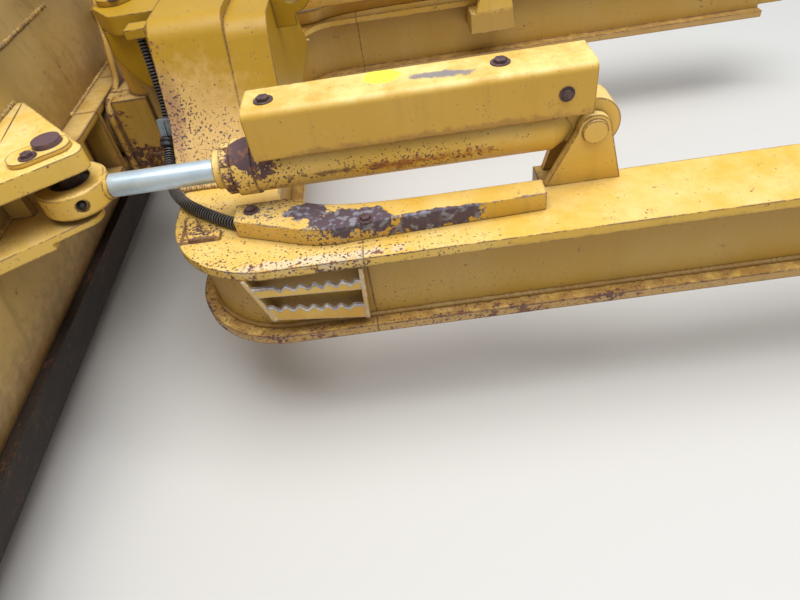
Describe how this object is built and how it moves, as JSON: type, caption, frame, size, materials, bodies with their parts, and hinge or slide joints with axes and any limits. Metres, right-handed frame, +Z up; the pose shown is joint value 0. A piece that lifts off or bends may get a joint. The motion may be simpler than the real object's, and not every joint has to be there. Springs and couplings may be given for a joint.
{
  "type": "angling and tilting bulldozer blade with push frame",
  "caption": "Curved dozer blade on a push frame, angled by two guarded hydraulic cylinders and tilted by a third across its centre yoke.",
  "frame": {"origin": "on the rear pivot axis, half way between the two push arms' eyes", "axes": "+X forward to the blade, +Y to the machine's left along the pivot axis, +Z up"},
  "size_m": [2.6826, 3.232, 1.153],
  "materials": {
    "yellow_paint": "weathered gloss",
    "chrome": "polished",
    "rusty_steel": "rusted",
    "dark_steel": "oily",
    "worn_edge": "ground bright by soil",
    "black_plastic": "dull"
  },
  "bodies": {
    "push_frame": {"left_arm": "yellow_paint", "right_arm": "yellow_paint", "left_pivot_eye": "yellow_paint", "right_pivot_eye": "yellow_paint", "left_base_bracket": "yellow_paint", "right_base_bracket": "yellow_paint", "left_lift_ear": "yellow_paint", "right_lift_ear": "yellow_paint", "left_step": "yellow_paint", "right_step": "yellow_paint", "left_hose_cover": "yellow_paint", "right_hose_cover": "yellow_paint", "cross_member": "yellow_paint", "tower": "yellow_paint", "upper_lug": "yellow_paint", "lower_lug": "yellow_paint", "king_pin": "rusty_steel", "conduit": "black_plastic", "conduit_block": "yellow_paint", "conduit_connector": "black_plastic"},
    "yoke": {"yoke": "yellow_paint"},
    "blade": {"mouldboard": "yellow_paint", "top_beam": "yellow_paint", "bottom_beam": "yellow_paint", "cutting_edge": "worn_edge", "tilt_hub": "yellow_paint", "tilt_bracket": "yellow_paint", "left_end_bit": "worn_edge", "right_end_bit": "worn_edge", "left_end_plate": "yellow_paint", "right_end_plate": "yellow_paint", "left_clevis": "yellow_paint", "right_clevis": "yellow_paint", "left_pin_head": "rusty_steel", "right_pin_head": "rusty_steel", "left_rib": "yellow_paint", "right_rib": "yellow_paint", "left_outer_rib": "yellow_paint", "right_outer_rib": "yellow_paint", "left_backing_box": "yellow_paint", "right_backing_box": "yellow_paint"},
    "left_barrel": {"left_barrel": "yellow_paint", "left_gland": "yellow_paint", "left_guard": "yellow_paint", "left_guard_posts": "yellow_paint"},
    "right_barrel": {"right_barrel": "yellow_paint", "right_gland": "yellow_paint", "right_guard": "yellow_paint", "right_guard_posts": "yellow_paint"},
    "left_rod": {"left_rod": "chrome", "left_rod_eye": "yellow_paint", "left_bearing": "dark_steel", "left_clevis_pin": "rusty_steel"},
    "right_rod": {"right_rod": "chrome", "right_rod_eye": "yellow_paint", "right_bearing": "dark_steel", "right_clevis_pin": "rusty_steel"},
    "tilt_barrel": {"tilt_barrel": "yellow_paint"},
    "tilt_rod": {"tilt_rod": "chrome"}
  },
  "joints": [
    {"name": "blade_angle", "type": "hinge", "parent": "push_frame", "child": "yoke", "pos_m": [2.125, 0, 0.226], "axis": [0, 0, 1], "range_deg": [-23, 23]},
    {"name": "blade_tilt", "type": "hinge", "parent": "yoke", "child": "blade", "pos_m": [2.28, 0, 0.11], "axis": [1, 0, 0], "range_deg": [-3, 3]},
    {"name": "left_barrel_pitch", "type": "hinge", "parent": "push_frame", "child": "left_barrel", "pos_m": [1.07, 0.54, 0.226], "axis": [0, 1, 0], "range_deg": [-1.6, 1.6]},
    {"name": "left_rod_slide", "type": "slide", "parent": "left_barrel", "child": "left_rod", "axis": [1, 0, 0], "range_m": [-0.212, 0.212]},
    {"name": "right_barrel_pitch", "type": "hinge", "parent": "push_frame", "child": "right_barrel", "pos_m": [1.07, -0.54, 0.226], "axis": [0, 1, 0], "range_deg": [-1.6, 1.6]},
    {"name": "right_rod_slide", "type": "slide", "parent": "right_barrel", "child": "right_rod", "axis": [1, 0, 0], "range_m": [-0.212, 0.212]},
    {"name": "tilt_barrel_swing", "type": "hinge", "parent": "yoke", "child": "tilt_barrel", "pos_m": [2.3, -0.3, 0.576], "axis": [1, 0, 0], "range_deg": [-1.6, 1.6]},
    {"name": "tilt_rod_slide", "type": "slide", "parent": "tilt_barrel", "child": "tilt_rod", "axis": [0, 1, 0], "range_m": [-0.026, 0.026]}
  ],
  "couplings": [
    {"joint": "left_rod_slide", "follows": "blade_angle", "m_per_rad": -0.5256},
    {"joint": "right_rod_slide", "follows": "blade_angle", "m_per_rad": 0.5256},
    {"joint": "left_barrel_pitch", "follows": "blade_tilt", "ratio": -0.4977},
    {"joint": "right_barrel_pitch", "follows": "blade_tilt", "ratio": 0.4977},
    {"joint": "tilt_barrel_swing", "follows": "blade_tilt", "ratio": 0.5},
    {"joint": "tilt_rod_slide", "follows": "blade_tilt", "m_per_rad": -0.466}
  ]
}
